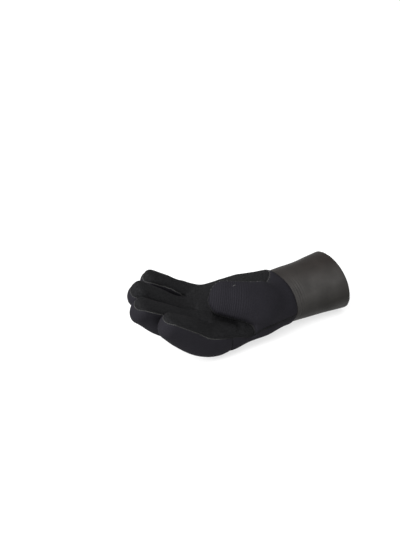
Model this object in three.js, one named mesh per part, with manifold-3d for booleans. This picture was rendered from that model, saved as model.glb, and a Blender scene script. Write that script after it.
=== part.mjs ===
// A left-hand neoprene diving glove, lying on its back with the palm up.
// Five pieces make it: a grip palm, the back of the four fingers, the back of the hand, the
// outer half of the thumb, and a smooth flared cuff. Each is a hollow wall, and together they
// leave one open space for a hand and its five digits.
// Units are millimetres. X runs from the fingertips (-X) to the cuff (+X), the thumb is on the
// -Y side, and +Z points up out of the palm. The glove rests on Z = 0.
import * as THREE from "three";
import Module from "manifold-3d";

const wasm = await Module();
wasm.setup();

// Walls and seams
const WALL = 5; // foam of the hand and the digits
const CUFF_WALL = 4; // thinner foam of the cuff
const GAP = 0.3; // between two pieces that meet at a seam

// Fineness of the facets
const HAND_SIDES = 28;
const DIGIT_SIDES = 16;
const CUFF_SIDES = 32;
const HEEL_SIDES = 12; // of the grip palm's round heel
const STEPS_PER_ROW = 2;
const DOME_STEPS = 4;

// A section is a rounded D: flatter towards the palm, rounder on the back. These are the powers
// of its superellipses, where 2 is an ellipse and more is squarer.
const PALM_POWER = 2.7;
const FINGER_POWER = 3.2;
const BACK_POWER = 2.15;
const TIP_LIFT = 0.7; // how far a finger's palm face runs on flat to its tip, from 0 to 1

// Sections of the hand, from past the wrist to the roots of the fingers.
// x, y, z: centre. wide: half width. rise: centre to palm. drop: centre to back.
// seam: height of the palm's seam over the centre. lean: how far the palm turns to the thumb.
const HAND = [
  { x: 122, y: 0, z: 30.5, wide: 33, rise: 30, drop: 31, seam: -8, lean: 0.0 },
  { x: 104, y: -1, z: 29.5, wide: 33.5, rise: 29.5, drop: 30.5, seam: -7, lean: 0.0 },
  { x: 86, y: -1, z: 28.5, wide: 37, rise: 29.5, drop: 28.5, seam: -5, lean: -0.03 },
  { x: 60, y: -1, z: 26, wide: 44.5, rise: 26, drop: 24, seam: 0.4, lean: -0.08 },
  { x: 34, y: -1, z: 24, wide: 50, rise: 23, drop: 22.5, seam: 6, lean: -0.11 },
  { x: 10, y: -1, z: 23.5, wide: 52, rise: 21, drop: 24, seam: 10.5, lean: -0.13 },
  { x: -6, y: 0, z: 26, wide: 51, rise: 18, drop: 21.5, seam: 12.5, lean: -0.15 },
];
const HAND_END = 7; // rounded end of the hand between the fingers

// Sections of each digit, from its root inside the hand to the middle of its round tip.
// palmward is the direction that its palm side faces, and tip the length of its round end.
const DIGITS = {
  index: {
    palmward: new THREE.Vector3(0, -0.19, 1),
    tip: 13,
    rows: [
      { x: 24, y: -35, z: 23, wide: 11.5, rise: 9, drop: 14, seam: 7 },
      { x: 2, y: -38, z: 22.5, wide: 14, rise: 15, drop: 20.5, seam: 9 },
      { x: -22, y: -41.5, z: 30, wide: 14, rise: 15.5, drop: 20, seam: 9.5 },
      { x: -44, y: -43.5, z: 45, wide: 13.7, rise: 15, drop: 19, seam: 9 },
      { x: -66, y: -45, z: 60, wide: 12.7, rise: 14, drop: 13.5, seam: 8 },
    ],
  },
  middle: {
    palmward: new THREE.Vector3(0, -0.28, 1),
    tip: 13,
    rows: [
      { x: 22, y: -12.5, z: 22, wide: 12, rise: 12, drop: 16, seam: 6 },
      { x: -2, y: -12.5, z: 24, wide: 13.7, rise: 17, drop: 19, seam: 9 },
      { x: -30, y: -12.5, z: 34, wide: 13.7, rise: 16, drop: 20, seam: 9.5 },
      { x: -57, y: -13, z: 52, wide: 13.5, rise: 15, drop: 19.5, seam: 9.5 },
      { x: -82.5, y: -13, z: 68.5, wide: 12.5, rise: 14, drop: 14, seam: 8 },
    ],
  },
  ring: {
    palmward: new THREE.Vector3(0, -0.3, 1),
    tip: 13,
    rows: [
      { x: 24, y: 14, z: 25, wide: 12, rise: 12, drop: 17, seam: 6 },
      { x: 0, y: 14.5, z: 27, wide: 13.5, rise: 17, drop: 19, seam: 9 },
      { x: -26, y: 16, z: 38, wide: 13.5, rise: 16, drop: 19.5, seam: 9.5 },
      { x: -49, y: 17, z: 54, wide: 13.3, rise: 15, drop: 18.5, seam: 9.5 },
      { x: -71.5, y: 17, z: 70, wide: 12.3, rise: 13.5, drop: 14, seam: 8 },
    ],
  },
  little: {
    palmward: new THREE.Vector3(0, -0.36, 1),
    tip: 12,
    rows: [
      { x: 30, y: 34, z: 29, wide: 10, rise: 10, drop: 13, seam: 5 },
      { x: 10, y: 39.5, z: 31, wide: 12.3, rise: 15, drop: 18, seam: 7 },
      { x: -10, y: 43, z: 40, wide: 12.5, rise: 15, drop: 17, seam: 8.5 },
      { x: -28, y: 44.5, z: 53, wide: 12.2, rise: 14, drop: 16, seam: 8.5 },
      { x: -43.5, y: 45, z: 65, wide: 11.3, rise: 12.5, drop: 13, seam: 7.5 },
    ],
  },
  thumb: {
    palmward: new THREE.Vector3(0, 0.837, -0.547),
    tip: 15,
    rows: [
      { x: 100, y: -8, z: 31, wide: 12, rise: 12, drop: 13, seam: 0 },
      { x: 80, y: -20.5, z: 38, wide: 18, rise: 13, drop: 15.5, seam: 0 },
      { x: 58, y: -28.5, z: 45.5, wide: 25, rise: 13.5, drop: 16, seam: 0 },
      { x: 35, y: -26, z: 53, wide: 21, rise: 13.5, drop: 15, seam: 0 },
      { x: 14, y: -17, z: 59.5, wide: 17, rise: 12, drop: 13.5, seam: 0 },
    ],
  },
};
const FINGERS = ["index", "middle", "ring", "little"];

// Sections of the cuff, from inside the hand to past its rim.
const CUFF = [
  { x: 84, y: 0, z: 29, wide: 31, rise: 28.5, drop: 29 },
  { x: 104, y: 0, z: 29.3, wide: 31, rise: 28.5, drop: 29.3 },
  { x: 124, y: 0, z: 30.3, wide: 31.2, rise: 29.5, drop: 30.2 },
  { x: 144, y: 0, z: 32, wide: 32.3, rise: 31.5, drop: 32.2 },
  { x: 164, y: 0, z: 33.6, wide: 34, rise: 33.7, drop: 34.4 },
  { x: 184, y: 0, z: 35.5, wide: 36, rise: 36, drop: 36.5 },
];
const CUFF_POWER = 2.1;

// The two ends of the cuff are slanted planes. x: where it crosses the centre of the cuff.
// lean and skew: change of x with height and with y.
const WRIST = { x: 97, z: 31, lean: -0.09, skew: -0.1 };
const RIM = { x: 163, z: 34, lean: -0.155, skew: -0.13 };

// Where the pieces part
const KNUCKLE_X = 12; // seam across the knuckles
const HEEL_X = 89; // round end of the grip palm, short of the wrist
const HEEL_Y = 18;
const HEEL_HALF_WIDTH = 20;
const CROTCH_X = 40; // the thumb's piece reaches the back of the hand from here to the wrist
const THUMB_EDGE_Y = -16; // grip palm's edge beside the thumb, at the crotch
const FAR_SIDE_Y = 30; // the thumb's piece goes round the heel as far as this
const PROUD = 0.6; // reach of a digit's cutting shape past its outside
const PAST_TIP = 30; // reach of a seam's cutting shape past the last section of its table
const FAR = 90; // reach of a cutting shape to the side of the glove
const WAY_OUT = 2 * FAR; // and along it or over it

const SLOPE_STEP = 0.05; // of a row, to either side of a section, to find its direction

// Value at place t, 0 at the first value, on a smooth curve through the values.
function smooth(values, t) {
  const last = values.length - 1;
  const i = Math.max(0, Math.min(Math.floor(t), last - 1));
  const f = t - i;
  const at = (k) => {
    if (k < 0) return 2 * values[0] - values[1];
    if (k > last) return 2 * values[last] - values[last - 1];
    return values[k];
  };
  const [a, b, c, d] = [at(i - 1), at(i), at(i + 1), at(i + 2)];
  return b + 0.5 * f * (c - a + f * (2 * a - 5 * b + 4 * c - d + f * (3 * (b - c) + d - a)));
}

// The section at place t of a table, with every column smoothed.
function sectionAt(rows, t) {
  const made = {};
  for (const column of Object.keys(rows[0])) {
    made[column] = smooth(
      rows.map((row) => row[column]),
      t,
    );
  }
  return made;
}

// Sections along a table, each with its place in space: origin, along, side and palm directions.
function stations(rows, palmward) {
  const made = [];
  const count = (rows.length - 1) * STEPS_PER_ROW;
  for (let k = 0; k <= count; k++) {
    const t = k / STEPS_PER_ROW;
    const row = sectionAt(rows, t);
    const before = sectionAt(rows, t - SLOPE_STEP);
    const after = sectionAt(rows, t + SLOPE_STEP);
    const along = new THREE.Vector3(after.x - before.x, after.y - before.y, after.z - before.z);
    along.normalize();
    const facing = palmward ?? new THREE.Vector3(0, row.lean ?? 0, 1);
    const palm = facing.clone().addScaledVector(along, -facing.dot(along)).normalize();
    const side = along.clone().cross(palm);
    made.push({ ...row, origin: new THREE.Vector3(row.x, row.y, row.z), along, side, palm });
  }
  return made;
}

// A closed solid through rings of points, with a cap at each end. An end is a point, or else
// the middle of its ring.
function skin(rings, endPoint) {
  const sides = rings[0].length;
  const middle = (ring) =>
    ring.reduce((sum, p) => sum.add(p), new THREE.Vector3()).divideScalar(ring.length);
  const vertices = rings.flat();
  const start = vertices.push(middle(rings[0])) - 1;
  const end = vertices.push(endPoint ?? middle(rings.at(-1))) - 1;
  const triangles = [];
  for (let i = 0; i < sides; i++) {
    const j = (i + 1) % sides;
    triangles.push(start, i, j);
    for (let r = 0; r + 1 < rings.length; r++) {
      const here = r * sides;
      const next = here + sides;
      triangles.push(here + i, next + j, here + j, here + i, next + i, next + j);
    }
    const final = (rings.length - 1) * sides;
    triangles.push(end, final + j, final + i);
  }
  const solid = new wasm.Manifold(
    new wasm.Mesh({
      numProp: 3,
      vertProperties: new Float32Array(vertices.flatMap((p) => p.toArray())),
      triVerts: new Uint32Array(triangles),
    }),
  );
  return solid;
}

const power = (value, exponent) => Math.sign(value) * Math.abs(value) ** exponent;

// Ring of a rounded D at a station, inset from the outside. At a round end it is shrunk, and
// moved forward and up.
function roundRing(station, look, inset, shrink = 1, forward = 0, up = 0) {
  const ring = [];
  for (let k = 0; k < look.sides; k++) {
    const angle = (2 * Math.PI * (k + 0.5)) / look.sides;
    const onPalm = Math.sin(angle) > 0;
    const exponent = 2 / (onPalm ? look.palmPower : Math.min(look.palmPower, BACK_POWER));
    const across = (station.wide - inset) * power(Math.cos(angle), exponent) * shrink;
    const tall = (onPalm ? station.rise : station.drop) - inset;
    const height = tall * power(Math.sin(angle), exponent) * shrink + up;
    ring.push(
      station.origin
        .clone()
        .addScaledVector(station.side, across)
        .addScaledVector(station.palm, height)
        .addScaledVector(station.along, forward),
    );
  }
  return ring;
}

// A round-ended form through a table of sections. look: its sides, power, tip and lift.
function form(rows, palmward, look, inset) {
  const made = stations(rows, palmward);
  const rings = made.map((station) => roundRing(station, look, inset));
  const last = made.at(-1);
  const length = look.tip - inset;
  const lift = (last.rise - inset) * look.lift;
  for (let k = 1; k < DOME_STEPS; k++) {
    const turn = (Math.PI / 2) * (k / DOME_STEPS);
    const shrink = Math.cos(turn);
    rings.push(roundRing(last, look, inset, shrink, length * Math.sin(turn), lift * (1 - shrink)));
  }
  const end = last.origin.clone().addScaledVector(last.along, length);
  return skin(rings, end.addScaledVector(last.palm, lift));
}

const HAND_LOOK = { sides: HAND_SIDES, palmPower: PALM_POWER, tip: HAND_END, lift: 0 };
const handForm = (inset) => form(HAND, null, HAND_LOOK, inset);

function digitForm(name, inset) {
  const { rows, palmward, tip } = DIGITS[name];
  const isThumb = name === "thumb";
  const palmPower = isThumb ? BACK_POWER : FINGER_POWER;
  const look = { sides: DIGIT_SIDES, palmPower, tip, lift: isThumb ? 0 : TIP_LIFT };
  return form(rows, palmward, look, inset);
}

// The space on the palm side of a table's seam, lowered by the gap where it cuts a neighbour.
function palmSide(rows, palmward, lowered) {
  const made = stations(rows, palmward);
  const last = made.at(-1);
  const further = { ...last, origin: last.origin.clone().addScaledVector(last.along, PAST_TIP) };
  const ringOf = (station) => {
    const corner = (across, up) =>
      station.origin
        .clone()
        .addScaledVector(station.side, across)
        .addScaledVector(station.palm, up);
    const low = station.seam - lowered;
    return [corner(FAR, low), corner(FAR, FAR), corner(-FAR, FAR), corner(-FAR, low)];
  };
  return skin([...made, further].map(ringOf));
}

// A box between two corners.
function block(low, high) {
  const size = high.map((value, axis) => value - low[axis]);
  const geometry = new THREE.BoxGeometry(...size);
  geometry.translate(...low.map((value, axis) => value + size[axis] / 2));
  return solidOf(geometry);
}

// A geometry of three.js as a solid.
function solidOf(geometry) {
  const position = geometry.getAttribute("position");
  const index = geometry.getIndex();
  const places = new Map();
  const vertices = [];
  const triangles = [];
  const count = index ? index.count : position.count;
  for (let k = 0; k < count; k++) {
    const v = index ? index.getX(k) : k;
    const p = [position.getX(v), position.getY(v), position.getZ(v)];
    const key = p.map((value) => value.toFixed(4)).join();
    if (!places.has(key)) {
      places.set(key, vertices.length / 3);
      vertices.push(...p);
    }
    triangles.push(places.get(key));
  }
  return new wasm.Manifold(
    new wasm.Mesh({
      numProp: 3,
      vertProperties: new Float32Array(vertices),
      triVerts: new Uint32Array(triangles),
    }),
  );
}

const join = (solids) => solids.reduce((all, solid) => all.add(solid));

// The hand with all five digits, inset from the outside by a wall.
function wholeHand(inset) {
  const digits = Object.keys(DIGITS).map((name) => digitForm(name, inset));
  return join([handForm(inset), ...digits]);
}

// Everything past a slanted plane on the cuff's side, moved along X.
function beyond(plane, moved) {
  const corners = [
    { y: -FAR, z: -FAR },
    { y: -FAR, z: WAY_OUT },
    { y: FAR, z: WAY_OUT },
    { y: FAR, z: -FAR },
  ];
  const ring = (further) =>
    corners.map(({ y, z }) => {
      const x = plane.x + plane.lean * (z - plane.z) + plane.skew * y;
      return new THREE.Vector3(x + moved + further, y, z);
    });
  return skin([ring(0), ring(WAY_OUT)]);
}

// The plan of the grip palm with its round heel, as an upright prism, grown all round.
function heelPrism(grown) {
  const half = HEEL_HALF_WIDTH + grown;
  const middle = HEEL_X - HEEL_HALF_WIDTH;
  const outline = new THREE.Shape();
  outline.moveTo(-WAY_OUT, -FAR);
  outline.lineTo(CROTCH_X + grown, -FAR);
  outline.lineTo(CROTCH_X + grown, THUMB_EDGE_Y - grown);
  outline.lineTo(middle, HEEL_Y - half);
  outline.absarc(middle, HEEL_Y, half, -Math.PI / 2, Math.PI / 2, false);
  outline.lineTo(CROTCH_X, FAR);
  outline.lineTo(-WAY_OUT, FAR);
  const geometry = new THREE.ExtrudeGeometry(outline, {
    depth: WAY_OUT,
    bevelEnabled: false,
    curveSegments: HEEL_SIDES,
  });
  return solidOf(geometry);
}

// The space of the grip palm: the palm side of the hand's seam within the heel, the thumb, and
// the palm side of each finger's seam within that finger.
function palmRegion(grown) {
  const hand = handForm(-PROUD - grown)
    .intersect(heelPrism(grown))
    .add(digitForm("thumb", -PROUD - grown))
    .intersect(palmSide(HAND, null, grown));
  const fingers = FINGERS.map((name) => {
    const { rows, palmward } = DIGITS[name];
    return palmSide(rows, palmward, grown).intersect(digitForm(name, -PROUD - grown));
  });
  return join([hand, ...fingers]);
}

// The space of the thumb's piece: the outer half of the thumb, and the ball of the thumb down
// to the back of the hand and round the heel.
function thumbRegion(grown) {
  const { rows, palmward } = DIGITS.thumb;
  const outward = palmward.clone().negate();
  const outerHalf = palmSide(rows, outward, grown).intersect(digitForm("thumb", -PROUD - grown));
  const ball = palmSide(HAND, null, grown)
    .intersect(block([CROTCH_X - grown, -FAR, -FAR], [WAY_OUT, FAR_SIDE_Y + grown, WAY_OUT]))
    .subtract(heelPrism(-grown));
  return outerHalf.add(ball);
}

function cuffForm(inset) {
  const look = { sides: CUFF_SIDES, palmPower: CUFF_POWER };
  return skin(stations(CUFF, null).map((station) => roundRing(station, look, inset)));
}

function build() {
  const floor = block([-WAY_OUT, -FAR, -FAR], [WAY_OUT, FAR, 0]);
  const shell = wholeHand(0)
    .subtract(wholeHand(WALL))
    .subtract(beyond(WRIST, -GAP / 2))
    .subtract(floor);
  const aroundThumb = thumbRegion(GAP);
  const backs = shell.subtract(palmRegion(GAP)).subtract(aroundThumb);
  const distal = (moved) => block([-WAY_OUT, -FAR, -FAR], [KNUCKLE_X + moved, FAR, WAY_OUT]);
  return {
    palm_panel: shell.intersect(palmRegion(0)).subtract(aroundThumb),
    finger_back_panel: backs.intersect(distal(-GAP / 2)),
    hand_back_panel: backs.subtract(distal(GAP / 2)),
    thumb_panel: shell.intersect(thumbRegion(0)),
    cuff: cuffForm(0)
      .subtract(cuffForm(CUFF_WALL))
      .intersect(beyond(WRIST, GAP / 2))
      .subtract(beyond(RIM, 0))
      .subtract(floor),
  };
}

const LOOKS = {
  palm_panel: { color: 0x2b2c2b, roughness: 0.9, metalness: 0 },
  finger_back_panel: { color: 0x23232b, roughness: 0.8, metalness: 0 },
  hand_back_panel: { color: 0x23232b, roughness: 0.8, metalness: 0 },
  thumb_panel: { color: 0x23232b, roughness: 0.8, metalness: 0 },
  cuff: { color: 0x3a3936, roughness: 0.45, metalness: 0 },
};

function meshOf(name, solid) {
  const { numProp, vertProperties, triVerts } = solid.getMesh();
  const places = new Float32Array((vertProperties.length / numProp) * 3);
  for (let i = 0; i < places.length / 3; i++) {
    places.set(vertProperties.subarray(i * numProp, i * numProp + 3), i * 3);
  }
  const geometry = new THREE.BufferGeometry();
  geometry.setAttribute("position", new THREE.BufferAttribute(places, 3));
  geometry.setIndex(new THREE.BufferAttribute(triVerts, 1));
  geometry.computeVertexNormals();
  const mesh = new THREE.Mesh(geometry, new THREE.MeshStandardMaterial(LOOKS[name]));
  mesh.name = name;
  return mesh;
}

const glove = new THREE.Group();
for (const [name, solid] of Object.entries(build())) {
  glove.add(meshOf(name, solid));
}
const bounds = new THREE.Box3().setFromObject(glove);
const centre = bounds.getCenter(new THREE.Vector3());
glove.position.set(-centre.x, -centre.y, -bounds.min.z);

export default glove;
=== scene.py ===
"""A left-hand neoprene diving glove that lies on its back with the palm up, dressed around its frame.

Shapes are worked out in millimetres in the glove's drawing: X runs from the fingertips to the cuff,
the thumb is on the -Y side, and Z = 0 is the surface that the glove lies on. PLACE moves the drawing
into the frame, and every finished piece is in metres.
"""

import math

import bmesh
import bpy
import numpy as np
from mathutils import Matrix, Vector, noise
from mathutils.kdtree import KDTree


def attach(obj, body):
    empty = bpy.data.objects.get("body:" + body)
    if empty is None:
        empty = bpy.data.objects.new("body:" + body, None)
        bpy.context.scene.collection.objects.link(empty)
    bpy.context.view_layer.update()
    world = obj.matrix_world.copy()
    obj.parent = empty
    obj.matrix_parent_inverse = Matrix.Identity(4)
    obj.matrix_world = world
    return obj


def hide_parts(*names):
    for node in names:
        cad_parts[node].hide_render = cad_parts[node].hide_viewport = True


MM = 0.001
TINY = 1e-9
EDGES = ((0, 1), (1, 2), (2, 0))  # of a triangle
PLACE = np.array([-38.01, 0.24, 0.0])  # the drawing's origin, in the frame, in millimetres

# Sections of the hand. rise, drop: centre to palm and to back. seam: height of the palm's seam.
SECTION = ("x", "y", "z", "wide", "rise", "drop", "seam", "lean")
HAND = [
    (122, 0, 30.5, 33, 30, 31, -8, 0),
    (104, -1, 29.5, 33.5, 28.3, 30.5, -7, 0),
    (86, -1, 28.5, 37, 29.8, 28.5, -5, -0.04),
    (60, -1, 26, 44.5, 29.2, 24, 3.2, -0.1),
    (34, 1, 24, 47.5, 24.8, 20.5, 0.8, -0.14),
    (10, 0, 23.5, 51, 22.2, 23, 9, -0.14),
    (-6, 0, 26, 51, 18, 21.5, 12.5, -0.15),
]
HAND_END = 7  # rounded end of the hand between the fingers

# Sections of each digit from its root to the middle of its round tip, without the lean.
# palmward: where its palm side faces. tip: length of its round end.
# tip_drop: how far its seam comes down round its tip.
DIGITS = {
    "index": {"palmward": (0, -0.19, 1), "tip": 13, "tip_drop": 5, "rows": [
        (24, -35, 23, 11.5, 7.5, 14, 5),
        (2, -38, 22.5, 14, 13.8, 20, 10.5),
        (-22, -41.5, 30, 14, 15.5, 20, 9.5),
        (-44, -43.5, 45, 13.7, 15, 19, 10.5),
        (-66, -45, 60, 12.7, 13.2, 13.5, 10),
    ]},
    "middle": {"palmward": (0, -0.28, 1), "tip": 13, "tip_drop": 8, "rows": [
        (22, -12.5, 22, 12, 12, 16, 6),
        (-2, -12.5, 24, 13.7, 17, 19, 9),
        (-30, -12.5, 34, 13.7, 15, 20, 10),
        (-57, -13, 52, 13.5, 12.2, 21.5, 9.5),
        (-82.5, -13, 68.5, 12.5, 11.5, 15.5, 8.5),
    ]},
    "ring": {"palmward": (0, -0.3, 1), "tip": 11.8, "tip_drop": 9, "rows": [
        (24, 14, 25, 12, 12, 17, 6),
        (0, 14.5, 27, 13.5, 16.5, 19, 6),
        (-26, 16, 36.5, 13.5, 14, 18, 4.5),
        (-49, 17, 52.5, 13.3, 13.3, 17, 3),
        (-71.5, 17, 69.5, 12.3, 13.5, 14, 3),
    ]},
    "little": {"palmward": (0, -0.36, 1), "tip": 12, "tip_drop": 10, "rows": [
        (30, 34, 29, 10, 10, 13, 5),
        (10, 39.5, 31, 12.3, 15, 18, 8.5),
        (-10, 43, 40, 12.5, 13.8, 17, 11),
        (-28, 44.5, 53, 12.2, 12.2, 16, 10.4),
        (-43.5, 45, 63.5, 11.3, 11.5, 13, 8.2),
    ]},
    "thumb": {"palmward": (0, 0.837, -0.547), "tip": 16.5, "rows": [
        (100, -12, 36, 15, 12, 13, 0),
        (80, -20.5, 41, 19, 13, 15.5, 0),
        (58, -28.5, 45.5, 25, 13.5, 16, 0),
        (35, -26.2, 53.8, 22.2, 13.5, 15, 0),
        (14, -18.1, 58.1, 20.9, 12, 13.5, 0),
    ]},
}
FINGERS = ("index", "middle", "ring", "little")

# Sections of the cuff, from inside the hand to past its rim
CUFF = [
    (84, 0, 29, 33, 28.5, 29),
    (104, 0, 29.3, 33.2, 29.3, 29.3),
    (124, 0, 30.3, 33, 30.4, 30.2),
    (144, 0, 32, 33.4, 32.3, 32.2),
    (164, 0, 33.6, 34.4, 34.2, 34.4),
    (184, 0, 35.5, 36, 36, 36.5),
]

# A section is a rounded D. These are the powers of its superellipses.
PALM_POWER = 2.7
FINGER_POWER = 3.8
BACK_POWER = 2.15
CUFF_POWER = 2.1
TIP_LIFT = 0.7  # how far a finger's palm face runs on flat to its tip, from 0 to 1
WRIST_BOW = 0.0075  # how the wrist seam runs back to the fingers below its middle, per mm
WRIST_BOW_REACH = 26

# The slanted planes at the two ends of the cuff
WRIST = {"x": 97, "z": 31, "lean": -0.09, "skew": -0.1}
RIM = {"x": 164, "z": 34, "lean": -0.155, "skew": -0.13}

# Where the panels part
KNUCKLE_X = 9.5
HEEL = (90.5, 18)  # X and Y of the end of the palm's round heel
HEEL_NEAR = (16, 21)  # length and half width of its end beside the thumb
HEEL_FAR = (50, 26)  # and on the far side
HEEL_FAR_RUN = (20, 52)  # X and Y that its far edge runs on to, over the side of the hand
CROTCH_X = 40
THUMB_EDGE_Y = -16
FAR_SIDE_Y = 30
HEEL_STEPS = 17  # points round the heel's end
FAR_SEAM = 10  # height of the palm's seam over the hand's middle on its far side
FAR_SEAM_REACH = (5, 35)  # in Y, where that begins to count and is full
FAR = 90  # past the glove on every side
THUMB_TILT = 0.15  # how the thumb's seam rises towards its far side
TIP_SEAM_POWER = 3  # how late a finger's seam comes down round its tip
PALM_SEAM_ROUNDS = 14  # smoothing of the palm's seam
THUMB_SEAM_ROUNDS = 80  # and of the seam round the thumb and the heel

# Foam
WALL = 5
CUFF_WALL = 4
SEAM_GAP = 0.3
WALL_PASSING = (-4, 4)  # past the wrist seam, over which one wall passes into the other
INSIDE_ROUNDS = 16  # smoothing of the inside
INSIDE_FREE = 3  # from the rim, where the inside isn't smoothed

# Fineness
LOFT_SIDES = 72
STEPS_PER_ROW = 8
DOME_STEPS = 10
VOXEL = 1
SMOOTHING = 8
GROWTH = 0.5  # makes up for what the smoothing takes off
BLEND = 3  # over which one form's seam passes into the next
EASE_ROUNDS = 90  # smoothing where a digit grows out of the hand
EASE_REACH = (5, 14)  # from a joint of two forms, where it is full and ends
EASE_THUMB = (0.3, 0.5)  # along the thumb, where it begins to end and has ended
EASE_FINGERS = (-2, 8)  # in X, where it begins and is full
FLOOR_ROUND = 0.8  # where the foam flattens on the floor
RIM_SPARE = 3  # cuff that is made past its rim and then cut off
SEAM_REACH = 4  # width of the foam that a seam draws in, on each side
SEAM_DEPTH = 1.1
SAME_SIDE = 0.2  # how alike the directions of a point and its seam are at least
NEAR_SEAMS = 3  # pieces of seam that are tried for a point
SWAY = 0.7  # slow unevenness of the foam
SWAY_PITCH = 24
SWAY_FLOOR = (0, 12)  # in Z, where it begins and is full
SWAY_RIM = (0, 8)  # and from the rim
CREASE_DEPTH = 0.7  # fine creases in the cuff beside the wrist seam
CREASE_PITCH = 3.4
CREASE_BEND = 1.5
CREASE_PLACE = (106, -26, 44)
CREASE_SPREAD = (5.5, 16, 17)
RIM_ROUND = 1.4

# The pocket under the thumb's near side, where the palm runs on beneath it
POCKET_WAY = (0.2, 0.75, -0.63)
POCKET_DEPTH = 9
POCKET_WIDTH = 19
POCKET_LIP = 4  # how much of the thumb turns under
POCKET_START = (-12, 8)  # in X, where it begins and is full
POCKET_END = (34, 46)
POCKET_ROUNDS = 110  # smoothing of the palm beside it
POCKET_EASE = (17, 27)  # from the thumb's seam, where that is full and ends
PAINTED_SHADE_LINE = ((6, -25), (15, -34))  # X and Y of the run of painted shade on the palm, close by the thumb
PAINTED_SHADE_REACH = (3, 14)  # from there, where the painted shade is darkest and where it ends
BETWEEN_SHADE_REACH = (3, 11)  # from the second nearest finger, where painted shade on the jersey is darkest and where it ends
BETWEEN_SHADE_END = (-14, 0)  # in X, where that passes at the fingers' roots
PAINTED_SHADE_SHARE = 0.6  # how much darker both painted shades make the cloth, as a share

# Seams: the bead's thread, half width and height, and the stitches' thread and pitch
SEAMS = [
    ("palm_seam", "grey_thread", 0.35, 0.25, "pale_thread", 2.2),
    ("thumb_top_seam", "dull_thread", 0.5, 0.25, "light_thread", 4.4),
    ("thumb_low_seam", "dull_thread", 1.1, 0.7, "dark_thread", 2.2),
    ("thumb_back_seam", "dark_thread", 1.9, 0.9, "dull_thread", 2.2),
    ("knuckle_seam", "dark_thread", 0.5, 0.25, "dark_thread", 2.2),
    ("wrist_seam", "dark_thread", 0.4, 0.25, None, 0),
]

# Thread. The tack is a short bar of thread in the thumb's back.
TACK_ENDS = ((24.2, -22.9, 74.5), (27.2, -22.3, 74.4))
TACK_RADIUS = 0.35
TACK_STEPS = 7
SHORTEST_SEAM = 6  # in edges
PATH_ROUNDS = 4  # smoothing along a seam
BEAD_STEP = 1.2
BEAD_SIDES = 8
STITCH_REACH = 0.5  # of a stitch past its seam's bead
STITCH_LIFT = 0.05  # and above it
STITCH_SLANT = 0.35
STITCH_SIDES = 5
STITCH_STEPS = 6
STITCH_ARCH = 3  # how flat a stitch runs before it turns down
BARE_ENDS = 2  # places at each end of a seam without a stitch
THREAD_RADIUS = 0.2

# Cloth: pitch and height of the rows of stitches, and size and height of the fuzz
JERSEY = (0.9, 0.01, 1, 0.12)
GRIP = (1.5, 0.08, 1, 0.3)
KNIT = (0.8, 0.06, 2, 0.2)
RIB_PITCH = 2.2
RIB_HEIGHT = 0.15
RIB_SHADE = 0.17  # painted light and shade: how much lighter a rib's top is painted, and darker its hollow, as a share
SURE = (0.1, 0.6)  # share by which one form is nearest, where the rows begin to show and are full

# Fine ribs, from where they start to where they are full. Along the thumb from 0 to 1, and in X.
THUMB_RIBS = (0.6, 0.9)
HEEL_RIBS = (45, 62)

# Unevenness of the surfaces: size and height, and how fine its detail is
RIPPLE = (9, 0.25, 3)
PORES = (0.6, 0.03, 1)
WEAR = (16, 0.2, 3)  # of the cuff's roughness
CUFF_ROUGHNESS = 0.5
TWIST = (0.5, 0.2)
FLOOR_GRAIN = (30, 0.05)

# Colours, linear, and patches of lighter and darker colour: share and size
NAVY = ((0.0109, 0.0104, 0.0129), (0.12, 14), (0.3, 1.4))
CHARCOAL = ((0.0088, 0.0088, 0.0094), (0.12, 9), (1.2, 1.4))
CUFF_COLOUR = ((0.0305, 0.029, 0.0278), (0.45, 18))
LINING = ((0.012, 0.012, 0.013), (0.1, 12))
FLOOR_COLOUR = ((0.3, 0.3, 0.3), (0.004, 200))
THREAD_PATCHES = ((0.5, 3), (1.2, 20))
PATCH_DETAIL = 3
DULL_THREAD = (0.0115, 0.0115, 0.0117)

# What a colour passes into: the colour, the way, and from where to where along it in the frame
WARM_TOP_SHADE = ((0.0118, 0.0098, 0.0088), (0, 0.3, 0.95), 40, 60)  # painted shade: the cuff is painted darker on top, with a warmer tint there
LOW_SHADE = ((0.01, 0.0092, 0.008), (0.2, 0, -1), -26, -4)  # painted shade: the cuff is painted darker low down, reaching higher towards its rim
# Painted light: the palm seam's thread is painted pale along the fingers, passing into dull thread
# towards the cuff
SEAM_LIGHT_FADING = (DULL_THREAD, (1, 0, 0), -58, -34)
THREADS = {
    "grey_thread": ((0.026, 0.0263, 0.0255), SEAM_LIGHT_FADING),
    "pale_thread": ((0.075, 0.0755, 0.073), SEAM_LIGHT_FADING),
    "light_thread": ((0.09, 0.09, 0.088), None),
    "dull_thread": (DULL_THREAD, None),
    "dark_thread": ((0.003, 0.003, 0.0035), None),
}

FLOOR_GLOW = 0.7
FLOOR_HALF = 4  # half its width, in metres
FLOOR_DROP = 0.0003  # how far it lies below the glove, in metres

# Light: azimuth and elevation in degrees, size in metres, power in watts
SKY = 0.85
LIGHT_DISTANCE = 1.6
LIGHTS = [
    ("key", -15, 62, 1.2, 12),
    ("side", -78, 35, 1, 40),
]

# The photograph's view, over the drawing, in degrees and millimetres
PHOTO_WIDTH = 400
CAMERA = {"azimuth": -28, "elevation": 30, "distance": 2400, "mm_per_pixel": 1.14}
TARGET = (35.84, 75.91, 45.06)

# Labels of the faces
PALM, FINGER_BACK, HAND_BACK, THUMB, CUFF_LABEL = range(5)

# Lines that the skin is cut along, in turn: where this is 0, on these sides of the lines before
CUTS = [
    ("rim", {}),
    ("wrist", {}),
    ("palm_side", {"wrist": -1}),
    ("thumb_side", {"wrist": -1, "palm_side": 1}),
    ("far_side", {"wrist": -1, "palm_side": 1, "thumb_side": 1}),
    ("knuckle", {"wrist": -1, "palm_side": -1}),
]


def unit(v):
    """Vectors of length 1."""
    return v / np.maximum(np.linalg.norm(v, axis=-1, keepdims=True), TINY)


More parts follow.
